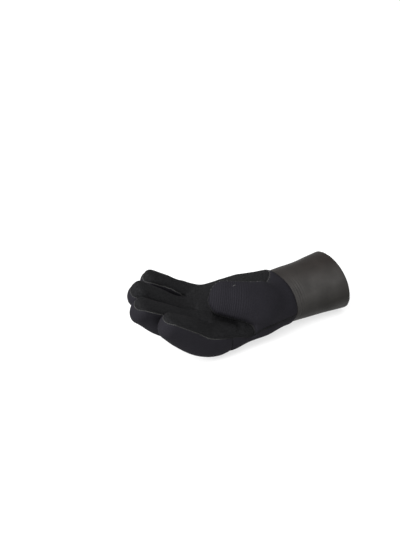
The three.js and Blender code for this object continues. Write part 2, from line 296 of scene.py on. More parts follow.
def catmull(table, t):
    """Rows at places t of a table, on a smooth curve through its rows."""
    last = len(table) - 1
    padded = np.vstack([2 * table[0] - table[1], table, 2 * table[-1] - table[-2]])
    i = np.clip(np.floor(t).astype(int), 0, last - 1)
    f = (t - i)[:, None]
    a, b, c, d = (padded[i + k] for k in range(4))
    return b + 0.5 * f * (c - a + f * (2 * a - 5 * b + 4 * c - d + f * (3 * (b - c) + d - a)))


def beside_line(places, start, end):
    """How far along a straight line places lie, from 0 to 1, and their distance from it, squared."""
    step = end - start
    share = np.clip((places - start) @ step / max(step @ step, TINY), 0, 1)
    return share, ((places - start - share[:, None] * step) ** 2).sum(1)


def plane_distance(plane, points):
    """How far points lie past a slanted plane, along X."""
    x, y, z = points.T
    return x - plane["x"] - plane["lean"] * (z - plane["z"]) - plane["skew"] * y


class Form:
    """A round-ended form through a table of sections."""

    SLOPE = 0.05  # of a row, on each side, over which its direction is taken
    AT_END = 1e-6

    def __init__(self, rows, palmward=None, tip=0, tip_drop=0, palm_power=BACK_POWER, lift=0):
        table = np.array([row + (0,) * (len(SECTION) - len(row)) for row in rows], float)
        t = np.linspace(0, len(rows) - 1, (len(rows) - 1) * STEPS_PER_ROW + 1)
        values = catmull(table, t)
        self.origin = values[:, :3]
        self.wide, self.rise, self.drop, self.seam, lean = values[:, 3:].T
        before, after = (catmull(table, t + step)[:, :3] for step in (-self.SLOPE, self.SLOPE))
        self.along = unit(after - before)
        facing = np.array([palmward]) if palmward else np.stack([0 * lean, lean, 0 * lean + 1], 1)
        facing = facing - (facing * self.along).sum(1, keepdims=True) * self.along
        self.palm = unit(facing)
        self.side = np.cross(self.along, self.palm)
        self.tip, self.tip_drop, self.lift = tip, tip_drop, lift
        self.palm_power, self.back_power = palm_power, min(palm_power, BACK_POWER)
        steps = np.linalg.norm(np.diff(self.origin, axis=0), axis=1)
        self.length = np.concatenate([[0], np.cumsum(steps)])

    def ring(self, k, shrink=1, forward=0, up=0):
        """Points round station k."""
        angle = 2 * math.pi * (np.arange(LOFT_SIDES) + 0.5) / LOFT_SIDES
        cos, sin = np.cos(angle), np.sin(angle)
        power = 2 / np.where(sin > 0, self.palm_power, self.back_power)
        across = self.wide[k] * np.sign(cos) * abs(cos) ** power * shrink
        tall = np.where(sin > 0, self.rise[k], self.drop[k])
        height = tall * np.sign(sin) * abs(sin) ** power * shrink + up
        middle = self.origin[k] + self.along[k] * forward
        return middle + across[:, None] * self.side[k] + height[:, None] * self.palm[k]

    def mesh(self):
        """Points and faces of the form."""
        last = len(self.origin) - 1
        rings = [self.ring(k) for k in range(last + 1)]
        lift = self.rise[last] * self.lift
        if self.tip:
            for k in range(1, DOME_STEPS):
                turn = math.pi / 2 * k / DOME_STEPS
                shrink = math.cos(turn)
                rings.append(self.ring(last, shrink, self.tip * math.sin(turn), lift * (1 - shrink)))
        end = self.origin[last] + self.along[last] * self.tip + self.palm[last] * lift
        points = np.vstack(rings + [self.origin[:1], end[None]])
        final = (len(rings) - 1) * LOFT_SIDES
        faces = []
        for i in range(LOFT_SIDES):
            j = (i + 1) % LOFT_SIDES
            faces.append((len(points) - 2, i, j))
            for here in range(0, final, LOFT_SIDES):
                after = here + LOFT_SIDES
                faces.append((here + i, after + i, after + j, here + j))
            faces.append((len(points) - 1, final + j, final + i))
        return points, faces

    def local(self, points):
        """Where points lie on the form: across, up, along, past its surface, and over its seam."""
        best = np.full(len(points), np.inf)
        place = np.zeros(len(points))
        for k in range(len(self.origin) - 1):
            share, gap = beside_line(points, self.origin[k], self.origin[k + 1])
            nearer = gap < best
            best[nearer] = gap[nearer]
            place[nearer] = k + share[nearer]

        def at(values):
            k = np.minimum(place.astype(int), len(self.origin) - 2)
            f = place - k
            f = f[:, None] if values.ndim > 1 else f
            return values[k] * (1 - f) + values[k + 1] * f

        away = points - at(self.origin)
        across, up, on = ((away * at(way)).sum(1) for way in (self.side, self.palm, self.along))
        past_tip = np.maximum(on, 0) * (place >= len(self.origin) - 1 - self.AT_END)
        before = np.maximum(-on, 0) * (place <= self.AT_END)
        tall = np.where(up > 0, at(self.rise), at(self.drop))
        wide = at(self.wide)
        power = np.where(up > 0, self.palm_power, self.back_power)
        rho = ((abs(across) / wide) ** power + (abs(up) / tall) ** power) ** (1 / power)
        if self.tip:
            rho = np.hypot(rho, past_tip / self.tip)
        outside = np.maximum((rho - 1) * np.minimum(wide, tall), 0) + before
        drop = self.tip_drop * (past_tip / self.tip) ** TIP_SEAM_POWER if self.tip_drop else 0
        on += at(self.length)
        seam = up - at(self.seam) + drop
        place /= len(self.origin) - 1
        return dict(across=across, up=up, on=on, outside=outside, seam=seam, place=place, wide=wide)


def mesh_object(name, points, faces):
    mesh = bpy.data.meshes.new(name)
    mesh.from_pydata(np.asarray(points).tolist(), [], faces)
    mesh.update()
    made = bpy.data.objects.new(name, mesh)
    bpy.context.scene.collection.objects.link(made)
    return made


def clipped(points, faces, plane):
    """A closed form with what lies past a slanted plane cut off, and the cut closed."""
    bm = bmesh.new()
    verts = [bm.verts.new(p) for p in points]
    for face in faces:
        bm.faces.new([verts[i] for i in face])
    whole = [*bm.verts, *bm.edges, *bm.faces]
    middle, normal = (plane["x"], 0, plane["z"]), (1, -plane["skew"], -plane["lean"])
    cut = bmesh.ops.bisect_plane(bm, geom=whole, plane_co=middle, plane_no=normal, clear_outer=True)
    edges = [e for e in cut["geom_cut"] if isinstance(e, bmesh.types.BMEdge)]
    bmesh.ops.contextual_create(bm, geom=edges)
    bm.verts.index_update()
    made = [tuple(v.co) for v in bm.verts]
    rows = [tuple(v.index for v in f.verts) for f in bm.faces]
    bm.free()
    return np.array(made), rows


def joined(parts):
    """Several meshes as one list of points and one of faces."""
    points, faces, first = [], [], 0
    for part_points, part_faces in parts:
        points.append(part_points)
        faces += [tuple(first + i for i in face) for face in part_faces]
        first += len(part_points)
    return np.vstack(points), faces


def skin_of(parts):
    """One smooth skin round overlapping closed forms, as points and triangles."""
    raw = mesh_object("raw_skin", *joined(parts))
    remesh = raw.modifiers.new("remesh", "REMESH")
    remesh.mode = "VOXEL"
    remesh.voxel_size = VOXEL
    relax = raw.modifiers.new("relax", "SMOOTH")
    relax.iterations = SMOOTHING
    made = raw.evaluated_get(bpy.context.evaluated_depsgraph_get()).to_mesh()
    co = np.zeros(len(made.vertices) * 3)
    made.vertices.foreach_get("co", co)
    made.calc_loop_triangles()
    tri = np.zeros(len(made.loop_triangles) * 3, int)
    made.loop_triangles.foreach_get("vertices", tri)
    bpy.data.meshes.remove(raw.data)
    return co.reshape(-1, 3), tri.reshape(-1, 3)


def edge_rows(faces):
    """Every directed edge of the faces: the first of each, then the second, then the third."""
    return np.vstack([faces[:, side] for side in EDGES])


def edge_pairs(faces):
    """Every edge of the faces once."""
    return np.unique(np.sort(edge_rows(faces), 1), axis=0)


def edge_numbers(faces):
    """Every directed edge, a number that it shares with its twin, and how many share each number."""
    edges = edge_rows(faces)
    _, number, count = np.unique(np.sort(edges, 1), axis=0, return_inverse=True, return_counts=True)
    return edges, number.ravel(), count


def gathered(index, rows, count):
    """The sum of the rows that share an index, for each of a count of indices."""
    return np.stack([np.bincount(index, column, count) for column in rows.T], 1)


class Skin:
    """Points and triangles with named values on the points, which can be cut along contours."""

    SNAP = 0.3  # a point this near to a contour, as a share of its edge, moves onto it
    ZERO = 1e-7

    def __init__(self, points, faces):
        self.faces = faces
        self.columns = {}
        self.table = np.array(points, float)
        self.locked = np.zeros(len(points), bool)

    def set(self, name, values):
        """Adds one or more columns of values."""
        values = np.asarray(values, float).reshape(len(self.table), -1)
        self.columns[name] = slice(self.table.shape[1], self.table.shape[1] + values.shape[1])
        self.table = np.hstack([self.table, values])

    def get(self, name):
        found = self.table[:, self.columns[name]]
        return found[:, 0] if found.shape[1] == 1 else found

    @property
    def points(self):
        return self.table[:, :3]

    def cut(self, name, where):
        """Splits faces along the places where the named value is 0, within the faces of where."""
        column = self.columns[name].start
        value = self.table[:, column]
        value[abs(value) < self.ZERO] = 0
        pairs = edge_pairs(self.faces[where])

        def crossings():
            i, j = pairs[value[pairs[:, 0]] * value[pairs[:, 1]] < 0].T
            return i, j, value[i] / (value[i] - value[j])

        i, j, share = crossings()
        near, far = share < self.SNAP, share > 1 - self.SNAP
        moving = np.concatenate([i[near], j[far]])
        towards = np.concatenate([j[near], i[far]])
        reach = np.concatenate([share[near], 1 - share[far]])
        order = np.argsort(reach, kind="stable")
        moving, first = np.unique(moving[order], return_index=True)
        free = ~self.locked[moving]
        moving, first = moving[free], order[first[free]]
        share = reach[first, None]
        self.table[moving] = self.table[moving] * (1 - share) + self.table[towards[first]] * share
        self.table[moving, column] = 0
        i, j, share = crossings()
        share = share[:, None]
        added = self.table[i] * (1 - share) + self.table[j] * share
        added[:, column] = 0
        first_new = len(self.table)
        midway = {(a, b): first_new + k for k, (a, b) in enumerate(zip(i.tolist(), j.tolist()))}
        self.table = np.vstack([self.table, added])
        self.locked = np.concatenate([self.locked, np.ones(len(added), bool)])
        used = np.unique(self.faces[where])
        self.locked[used[self.table[used, column] == 0]] = True
        self.split(midway, self.table[:, column])

    def split(self, midway, value):
        """Splits each face that has new points on its edges, by the sign of the value."""
        code = [len(self.table), 1]
        parted = np.sort(np.array(list(midway), int).reshape(-1, 2), 1) @ code
        touched = np.isin(np.sort(edge_rows(self.faces), 1) @ code, parted).reshape(3, -1).any(0)
        made = []
        for face in self.faces[touched].tolist():
            ring = []
            for a, b in EDGES:
                ring.append(face[a])
                between = midway.get((min(face[a], face[b]), max(face[a], face[b])))
                if between is not None:
                    ring.append(between)
            for sign in (1, -1):
                part = [p for p in ring if value[p] * sign >= 0]
                if any(value[p] * sign > 0 for p in part):
                    made += [(part[0], part[k], part[k + 1]) for k in range(1, len(part) - 1)]
        self.faces = np.vstack([self.faces[~touched], np.array(made, int).reshape(-1, 3)])

    def mean(self, name):
        """The named value at the middle of each face."""
        return self.get(name)[self.faces].mean(1)


def point_normals(points, faces):
    a, b, c = (points[faces[:, k]] for k in range(3))
    normal = np.cross(b - a, c - a)
    return unit(sum(gathered(faces[:, k], normal, len(points)) for k in range(3)))


def relaxed(points, faces, rounds, share=1.0):
    """Points drawn towards the middle of their neighbours, a number of times, each by its share."""
    a, b = edge_pairs(faces).T
    size = len(points)
    count = np.maximum(np.bincount(a, minlength=size) + np.bincount(b, minlength=size), 1)
    made = points.copy()
    for _ in range(rounds):
        total = gathered(a, made[b], size) + gathered(b, made[a], size)
        made += 0.5 * np.reshape(share, (-1, 1)) * (total / count[:, None] - made)
    return made


def heel_distance(places):
    """How far places lie inside the plan of the grip palm with its round heel."""
    edge = [(CROTCH_X, -FAR), (CROTCH_X, THUMB_EDGE_Y)]
    for a in np.linspace(-math.pi / 2, math.pi / 2, HEEL_STEPS):
        length, reach = HEEL_NEAR if a < 0 else HEEL_FAR
        edge.append((HEEL[0] - length * (1 - math.cos(a)), HEEL[1] + reach * math.sin(a)))
    outline = np.array([*edge, HEEL_FAR_RUN, (CROTCH_X, FAR)])
    x, y = places.T
    nearest = np.full(len(x), np.inf)
    inside = np.zeros(len(x), bool)
    for start, end in zip(outline, outline[1:]):
        nearest = np.minimum(nearest, beside_line(places, start, end)[1])
        step = end - start
        crosses = (start[1] > y) != (end[1] > y)
        at = start[0] + (y - start[1]) * step[0] / step[1] if step[1] else 0 * y
        inside ^= crosses & (x < at)
    return np.where(inside, 1, -1) * np.sqrt(nearest)


def smoothstep(low, high, value):
    share = np.clip((value - low) / (high - low), 0, 1)
    return share * share * (3 - 2 * share)


def settled(points, faces, on):
    """The skin eased where digits grow out of the hand, bowed at the wrist, and flat on the floor."""
    share = np.zeros(len(points))
    for name in DIGITS:
        near = 1 - smoothstep(*EASE_REACH, np.maximum(on[name]["outside"], on["hand"]["outside"]))
        if name == "thumb":
            near *= 1 - smoothstep(*EASE_THUMB, on[name]["place"])
        else:
            near *= smoothstep(*EASE_FINGERS, points[:, 0])
        share = np.maximum(share, near)
    made = relaxed(points, faces, EASE_ROUNDS, share)
    made += GROWTH * point_normals(made, faces)
    low = np.maximum(WRIST["z"] - made[:, 2], 0)
    from_wrist = plane_distance(WRIST, points) / WRIST_BOW_REACH
    made[:, 0] -= WRIST_BOW * low**2 * np.exp(-(from_wrist**2))
    made[:, 2] = 0.5 * (made[:, 2] + np.sqrt(made[:, 2] ** 2 + FLOOR_ROUND**2))
    made[:, 2] -= made[:, 2].min()
    return made


def make_skin():
    """The whole outside of the glove, cut along its seams, with a label for each face."""
    flat = {"palm_power": FINGER_POWER, "lift": TIP_LIFT}
    forms = {name: Form(**row, **(flat if name in FINGERS else {})) for name, row in DIGITS.items()}
    forms["hand"] = Form(HAND, tip=HAND_END, palm_power=PALM_POWER)
    cuff = Form(CUFF, palm_power=CUFF_POWER)
    past_rim = dict(RIM, x=RIM["x"] + RIM_SPARE)
    parts = [clipped(*forms["hand"].mesh(), WRIST), clipped(*cuff.mesh(), past_rim)]
    points, faces = skin_of(parts + [forms[name].mesh() for name in DIGITS])
    on = {name: form.local(points) for name, form in forms.items()}
    weight = {name: np.exp(-local["outside"] / BLEND) for name, local in on.items()}
    weight["hand"] += TINY
    total = sum(weight.values())

    x, y, _ = points.T
    hand, thumb = on["hand"], on["thumb"]
    far = smoothstep(*FAR_SEAM_REACH, y)
    hand_seam = hand["seam"] * (1 - far) + (hand["up"] - FAR_SEAM) * far
    palm_side = (weight["hand"] + weight["thumb"]) * hand_seam
    thumb_side = weight["hand"] * -heel_distance(points[:, :2])
    thumb_side -= weight["thumb"] * (thumb["up"] - THUMB_TILT * thumb["across"])
    for name in FINGERS:
        palm_side += weight[name] * on[name]["seam"]
        thumb_side -= weight[name] * FAR
    weights = np.stack(list(weight.values()))
    second, first = np.sort(weights, 0)[-2:]
    sure = smoothstep(*SURE, (first - second) / first)
    grain = np.zeros((len(points), 3))
    for k, local in enumerate(on.values()):
        here = weights.argmax(0) == k
        around = np.arctan2(local["up"], local["across"]) * local["wide"]
        grain[here] = np.stack([local["on"], around, sure], 1)[here]
    thumb_end = smoothstep(*THUMB_RIBS, thumb["place"]) * weight["thumb"] / total
    heel = smoothstep(*HEEL_RIBS, x) * (palm_side > 0) * (thumb_side < 0)
    pocket = smoothstep(*POCKET_START, x) - smoothstep(*POCKET_END, x)
    # Where shade is painted on the jersey between the fingers, near the second nearest finger.
    second_finger = np.sort([on[name]["outside"] for name in FINGERS], 0)[1]
    between = (1 - smoothstep(*BETWEEN_SHADE_REACH, second_finger)) * (palm_side < 0)

    skin = Skin(settled(points, faces, on), faces)
    skin.set("palm_side", relaxed((palm_side / total)[:, None], faces, PALM_SEAM_ROUNDS))
    skin.set("thumb_side", relaxed((thumb_side / total)[:, None], faces, THUMB_SEAM_ROUNDS))
    skin.set("wrist", plane_distance(WRIST, points))
    skin.set("rim", plane_distance(RIM, points))
    skin.set("knuckle", x - KNUCKLE_X)
    skin.set("far_side", y - FAR_SIDE_Y)
    skin.set("grain", grain)
    skin.set("ribs", np.maximum(thumb_end, heel))
    skin.set("pocket", pocket * (thumb["across"] > 0))
    skin.set("between", between * (1 - smoothstep(*BETWEEN_SHADE_END, x)))
    skin.set("under_thumb", thumb["across"])

    for name, within in CUTS:
        where = np.ones(len(skin.faces), bool)
        for other, sign in within.items():
            where &= skin.mean(other) * sign > 0
        skin.cut(name, where)

    label = np.where(skin.mean("knuckle") < 0, FINGER_BACK, HAND_BACK)
    above = skin.mean("palm_side") > 0
    outer = above & (skin.mean("thumb_side") > 0)
    label[above] = PALM
    label[outer] = np.where(skin.mean("far_side") < 0, THUMB, HAND_BACK)[outer]
    label[skin.mean("wrist") > 0] = CUFF_LABEL
    keep = skin.mean("rim") <= 0
    used, index = np.unique(skin.faces[keep], return_inverse=True)
    skin.faces = index.reshape(-1, 3)
    skin.table = skin.table[used]
    return skin, label[keep]


def seam_edges(faces, label):
    """Edges between faces of two labels, as pairs of points with the two labels."""
    edges, number, _ = edge_numbers(faces)
    order = np.argsort(number, kind="stable")
    number, side = number[order], np.tile(label, 3)[order]
    first = np.flatnonzero((number[:-1] == number[1:]) & (side[:-1] != side[1:]))
    return edges[order[first]], np.sort(np.stack([side[first], side[first + 1]], 1), 1)


def seam_distance(points, normals, edges, reach=SEAM_REACH):
    """Distance from each point to the nearest seam on its own side of the foam, up to a reach."""
    middles = (points[edges[:, 0]] + points[edges[:, 1]]) / 2
    facing = unit(normals[edges[:, 0]] + normals[edges[:, 1]])
    tree = KDTree(len(middles))
    for k, place in enumerate(middles):
        tree.insert(place, k)
    tree.balance()
    distance = np.full(len(points), float(reach))
    for k, place in enumerate(points):
        for _, found, gap in tree.find_n(place, NEAR_SEAMS):
            if gap >= reach:
                break
            if facing[found] @ normals[k] > SAME_SIDE:
                distance[k] = gap
                break
    return distance


def chains(edges):
    """Runs of edges that join end to end, as lists of points, closed ones ending as they start."""
    links = {}
    for a, b in edges.tolist():
        links.setdefault(a, set()).add(b)
        links.setdefault(b, set()).add(a)
    starts = [p for p in sorted(links) if len(links[p]) != 2]
    found = []
    for start in starts + sorted(links):
        while links[start]:
            run = [start]
            while links[run[-1]]:
                after = min(links[run[-1]])
                links[run[-1]].discard(after)
                links[after].discard(run[-1])
                run.append(after)
                if after in starts:
                    break
            found.append(run)
    return [run for run in found if len(run) > SHORTEST_SEAM]


def even(path, spacing, closed):
    """A path's points set an even distance apart."""
    steps = np.linalg.norm(np.diff(path[:, :3], axis=0), axis=1)
    run = np.concatenate([[0], np.cumsum(steps)])
    count = max(int(round(run[-1] / spacing)), 3)
    at = np.linspace(0, run[-1], count + 1)[: count + (not closed)]
    return np.stack([np.interp(at, run, column) for column in path.T], 1)


def seam_paths(skin, normals, edges, spacing):
    """Smooth evenly stepped paths along edges, each with its normals, and whether it is a loop."""
    made = []
    for run in chains(edges):
        closed = run[0] == run[-1]
        path = np.hstack([skin.points[run], normals[run]])
        for _ in range(PATH_ROUNDS):
            inner = 0.25 * path[:-2] + 0.5 * path[1:-1] + 0.25 * path[2:]
            if closed:
                end = 0.25 * path[-2] + 0.5 * path[0] + 0.25 * path[1]
                path = np.vstack([end, inner, end])
            else:
                path = np.vstack([path[0], inner, path[-1]])
        made.append((even(path, spacing, closed), closed))
    return made


def frames_along(path, closed):
    """Place, forward, sideways and outward directions at each point of a path."""
    place = path[:, :3]
    outward = unit(path[:, 3:6])
    ahead = np.roll(place, -1, 0) - np.roll(place, 1, 0) if closed else np.gradient(place, axis=0)
    forward = unit(ahead)
    sideways = unit(np.cross(outward, forward))
    return place, forward, sideways, np.cross(forward, sideways)


def tube(spine, across, up, half_width, height, sides, closed=False):
    """Points and faces of an oval tube along a spine, with its two directions at each point."""
    angle = 2 * math.pi * np.arange(sides)[:, None] / sides
    wide = half_width * np.cos(angle) * across[:, None]
    points = spine[:, None] + wide + height * np.sin(angle) * up[:, None]
    count = len(spine)
    faces = []
    for r in range(count - (not closed)):
        here, after = r * sides, (r + 1) % count * sides
        for i in range(sides):
            j = (i + 1) % sides
            faces.append((here + i, here + j, after + j, after + i))
    if not closed:
        faces.append(tuple(range(sides))[::-1])
        faces.append(tuple((count - 1) * sides + i for i in range(sides)))
    return points.reshape(-1, 3), faces


def bead(path, closed, half_width, height):
    """Points and faces of a flat round bead along a path."""
    place, _, sideways, outward = frames_along(path, closed)
    return tube(place, sideways, outward, half_width, height, BEAD_SIDES, closed)


def stitches(path, closed, half_width, lift):
    """Points and faces of an arch of thread across a path at its points, slanted by turns."""
    place, forward, sideways, outward = frames_along(path, closed)
    share = np.linspace(-1, 1, STITCH_STEPS)
    height = lift - (lift + THREAD_RADIUS * 2) * abs(share) ** STITCH_ARCH
    parts = []
    for k in range(BARE_ENDS, len(place) - BARE_ENDS):
        lean = STITCH_SLANT * (-1) ** k
        line = np.stack([share * half_width, share * lean, height], 1)
        spine = place[k] + line @ np.stack([sideways[k], forward[k], outward[k]])
        along = unit(np.gradient(spine, axis=0))
        across = unit(np.cross(along, outward[k]))
        up = np.cross(across, along)
        points, faces = tube(spine, across, up, THREAD_RADIUS, THREAD_RADIUS, STITCH_SIDES)
        parts.append((points, [face[:1] + face[:0:-1] for face in faces]))
    return joined(parts)


def panel(name, skin, inner, chosen, materials):
    """One panel of foam: its outside from the skin, its inside, and the walls along its edges."""
    used, index = np.unique(skin.faces[chosen], return_inverse=True)
    faces = index.reshape(-1, 3)
    outside, inside = skin.points[used], inner[used]
    edges, number, shared = edge_numbers(faces)
    border = edges[shared[number] == 1]
    middle, size = outside[faces].mean(1), len(outside)
    pull = sum(gathered(faces[:, k], middle - outside[faces[:, k]], size) for k in range(3))
    rim = np.unique(border)
    gap = SEAM_GAP / 2 * unit(pull[rim])
    outside[rim] += gap
    inside[rim] += gap
    a, b = border.T
    walls = np.vstack([np.stack([b, a, a + size], 1), np.stack([b, a + size, b + size], 1)])
    every = np.vstack([faces, faces[:, ::-1] + size, walls])
    piece = finished(name, np.vstack([outside, inside]), every.tolist(), materials, len(faces))
    for value, kind in (("grain", "FLOAT_VECTOR"), ("ribs", "FLOAT"), ("painted_shade", "FLOAT")):
        field = "value" if kind == "FLOAT" else "vector"
        layer = piece.data.attributes.new(value, kind, "POINT")
        data = np.vstack([skin.get(value)[used].reshape(len(used), -1)] * 2)
        layer.data.foreach_set(field, data.ravel().astype(np.float32))
    return piece


def finished(name, points, faces, materials, first):
    """A smooth-shaded piece in the frame, in metres. Its first faces have the first material."""
    piece = mesh_object(name, (points + PLACE) * MM, faces)
    for material in materials:
        piece.data.materials.append(material)
    later = np.arange(len(faces)) >= first
    piece.data.polygons.foreach_set("material_index", later.astype(np.int32))
    piece.data.polygons.foreach_set("use_smooth", np.ones(len(faces), bool))
    piece.data.update()
    return piece


def tucked(skin, label):
    """Moves the skin so that the palm runs on under the thumb's near side, and sets where shade is
    painted on the palm close under it and on the jersey between the fingers.
    """
    normals = point_normals(skin.points, skin.faces)
    edges, pair = seam_edges(skin.faces, label)
    under = edges[(pair == (PALM, THUMB)).all(1)]
    gap = seam_distance(skin.points, normals, under, POCKET_EASE[1])
    on_palm = skin.get("thumb_side") < 0
    reach = np.where(on_palm, POCKET_WIDTH, POCKET_LIP)
    share = np.clip(1 - gap / reach, 0, 1) ** 2 * skin.get("pocket")
    moved = skin.points + POCKET_DEPTH * share[:, None] * POCKET_WAY
    ease = smoothstep(0, POCKET_LIP, gap) * (1 - smoothstep(*POCKET_EASE, gap)) * on_palm
    skin.table[:, :3] = relaxed(moved, skin.faces, POCKET_ROUNDS, ease)

    # Painted shade: the palm is painted darker close under the thumb, as is the jersey between the
    # fingers.
    away = np.sqrt(beside_line(skin.points[:, :2], *np.array(PAINTED_SHADE_LINE, float))[1])
    under = (1 - smoothstep(*PAINTED_SHADE_REACH, away)) * on_palm * (skin.get("palm_side") > 0)
    skin.set("painted_shade", np.maximum(under, skin.get("between")))


def shaped(skin, label):
    """The inside of the foam. The skin itself is drawn in along its seams and rounded at its rim."""
    points = skin.points.copy()
    normals = point_normals(points, skin.faces)
    edges, pair = seam_edges(skin.faces, label)
    distance = seam_distance(points, normals, edges)
    past_wrist = skin.get("wrist")
    to_rim = -skin.get("rim")

    wall = WALL + (CUFF_WALL - WALL) * smoothstep(*WALL_PASSING, past_wrist)
    inner = relaxed(points - normals * wall[:, None], skin.faces, INSIDE_ROUNDS, to_rim >= INSIDE_FREE)

    out = -SEAM_DEPTH * (1 - distance / SEAM_REACH) ** 2
    sway = np.array([noise.noise(Vector(p) / SWAY_PITCH) for p in points])
    out += SWAY * sway * smoothstep(*SWAY_FLOOR, points[:, 2]) * smoothstep(*SWAY_RIM, to_rim)
    crease = np.sin(2 * math.pi * past_wrist / CREASE_PITCH + CREASE_BEND * sway)
    away = (points - CREASE_PLACE) / CREASE_SPREAD
    out += CREASE_DEPTH * crease * np.exp(-(away**2).sum(1)) * (past_wrist > 0)
    turn = np.clip(1 - to_rim / RIM_ROUND, 0, 1)
    rounding = RIM_ROUND * (1 - np.sqrt(1 - turn**2))
    out -= rounding
    inner += normals * rounding[:, None]
    skin.table[:, :3] = points + normals * out[:, None]
    skin.table[:, 2] = np.maximum(skin.table[:, 2], 0)
    return inner, edges, pair


class Shader:
    """A material that is put together node by node."""

    def __init__(self, name):
        self.material = bpy.data.materials.new(name)
        self.material.use_nodes = True
        self.tree = self.material.node_tree
        self.tree.nodes.clear()

    def add(self, kind, out=0, settings=None, **inputs):
        """A node with its inputs set or linked, named in words joined by _ or numbered as in_0."""
        node = self.tree.nodes.new(kind)
        for key, value in (settings or {}).items():
            setattr(node, key, value)
        for key, value in inputs.items():
            number = key[3:]
            socket = node.inputs[int(number) if number.isdigit() else key.replace("_", " ")]
            if isinstance(value, bpy.types.NodeSocket):
                self.tree.links.new(value, socket)
            else:
                socket.default_value = value
        return node.outputs[out] if node.outputs else None

    def math(self, operation, a, b=0.0):
        return self.add("ShaderNodeMath", settings={"operation": operation}, in_0=a, in_1=b)

    def times(self, a, b):
        return self.math("MULTIPLY", a, b)

    def sum(self, total, *terms):
        for term in terms:
            total = self.math("ADD", total, term)
        return total

    def wave(self, along, pitch):
        """A sine of one length in millimetres."""
        return self.math("SINE", self.times(along, 2 * math.pi / pitch))

    def noise(self, size, height, detail=2):
        """Noise with features of a size in millimetres, about 0, and of a height."""
        place = self.add("ShaderNodeTexCoord", out="Object")
        found = self.add("ShaderNodeTexNoise", Vector=place, Scale=1 / (size * MM), Detail=detail)
        return self.times(self.math("SUBTRACT", found, 0.5), height)

    def attribute(self, name, out="Fac"):
        return self.add("ShaderNodeAttribute", out=out, settings={"attribute_name": name})

    def grain(self, pitch):
        """Dots in rows over the foam, the length along it in millimetres, and how clear both are."""
        found = self.attribute("grain", "Vector")
        along, around, sure = (self.add("ShaderNodeSeparateXYZ", out=k, Vector=found) for k in range(3))
        return self.times(self.wave(along, pitch), self.wave(around, pitch)), along, sure

    def passing(self, colour, other, way, start, end):
        """A colour that passes into another between two distances along a way."""
        place = self.add("ShaderNodeTexCoord", out="Object")
        dot = {"operation": "DOT_PRODUCT"}
        far = self.add("ShaderNodeVectorMath", out=1, settings=dot, in_0=place, in_1=way)
        share = self.add("ShaderNodeMapRange", Value=far, From_Min=start * MM, From_Max=end * MM)
        ends = [c if isinstance(c, bpy.types.NodeSocket) else (*c, 1) for c in (colour, other)]
        kind = {"data_type": "RGBA"}
        return self.add("ShaderNodeMix", out=2, settings=kind, in_0=share, in_6=ends[0], in_7=ends[1])

    def finish(self, height, colour, patches, factor=1.0, **surface):
        """The surface with a bump of a height in millimetres, and a colour in patches, by a factor."""
        for share, size in patches:
            factor = self.times(factor, self.sum(self.noise(size, 2 * share, PATCH_DETAIL), 1.0))
        scale = {"operation": "SCALE"}
        cover = self.add("ShaderNodeVectorMath", settings=scale, in_0=colour, Scale=factor)
        normal = self.add("ShaderNodeBump", Height=height, Distance=MM, Strength=1.0)
        shade = self.add("ShaderNodeBsdfPrincipled", Base_Color=cover, Normal=normal, **surface)
        self.add("ShaderNodeOutputMaterial", in_0=shade)
        return self.material


def cloth(name, rows, colour, *patches):
    """Cloth on foam: dots in rows, fuzz, ribs where the foam is gathered with painted light and shade
    on them, and painted shade under the thumb and between the fingers.
    """
    shader = Shader(name)
    pitch, height, fuzz_size, fuzz = rows
    dots, along, sure = shader.grain(pitch)
    dots = shader.times(dots, shader.times(sure, height))
    gathers = shader.times(shader.wave(along, RIB_PITCH), shader.times(shader.attribute("ribs"), sure))
    relief = shader.sum(dots, shader.noise(fuzz_size, fuzz), shader.times(gathers, RIB_HEIGHT))
    # painted light and shade on the ribs: tops lighter, hollows darker
    lighter = shader.sum(shader.times(gathers, RIB_SHADE), 1.0)
    # painted shade under the thumb and between the fingers
    darker = shader.math("SUBTRACT", 1.0, shader.times(shader.attribute("painted_shade"), PAINTED_SHADE_SHARE))
    shade = shader.times(lighter, darker)
    return shader.finish(relief, colour, patches, shade, Roughness=0.85, Specular_IOR_Level=0.04)


def smooth_skin(colour, *patches):
    """The smooth foam skin of the cuff, with a soft sheen, faint marks of handling, and painted shade
    darker on top and low down.
    """
    shader = Shader("cuff_skin")
    height = shader.sum(shader.noise(*RIPPLE), shader.noise(*PORES))
    worn = shader.sum(shader.noise(*WEAR), CUFF_ROUGHNESS)
    # Painted shade: the colour is darker and warmer on top, and darker low down.
    shaded_colour = shader.passing(shader.passing(colour, *WARM_TOP_SHADE), *LOW_SHADE)
    return shader.finish(height, shaded_colour, patches, Roughness=worn, Specular_IOR_Level=0.1)


def knit(colour, *patches):
    """Close knit, for the lining and the foam's cut edges."""
    shader = Shader("black_lining")
    pitch, height, fuzz_size, fuzz = KNIT
    relief = shader.sum(shader.times(shader.grain(pitch)[0], height), shader.noise(fuzz_size, fuzz))
    return shader.finish(relief, colour, patches, Roughness=0.95, Specular_IOR_Level=0.2)


def thread(name, colour, passing):
    """Twisted thread, which may pass into another colour."""
    shader = Shader(name)
    if passing:
        # painted light on the palm seam's thread, fading towards the cuff
        colour = shader.passing(colour, *passing)
    twist = shader.noise(*TWIST)
    return shader.finish(twist, colour, THREAD_PATCHES, Roughness=0.8, Specular_IOR_Level=0.1)


def backdrop(colour, *patches):
    """The floor, lit a little from beneath like a light table."""
    shader = Shader("pale_floor")
    glow = {"Emission_Color": (1, 1, 1, 1), "Emission_Strength": FLOOR_GLOW}
    return shader.finish(shader.noise(*FLOOR_GRAIN), colour, patches, Roughness=0.9, **glow)


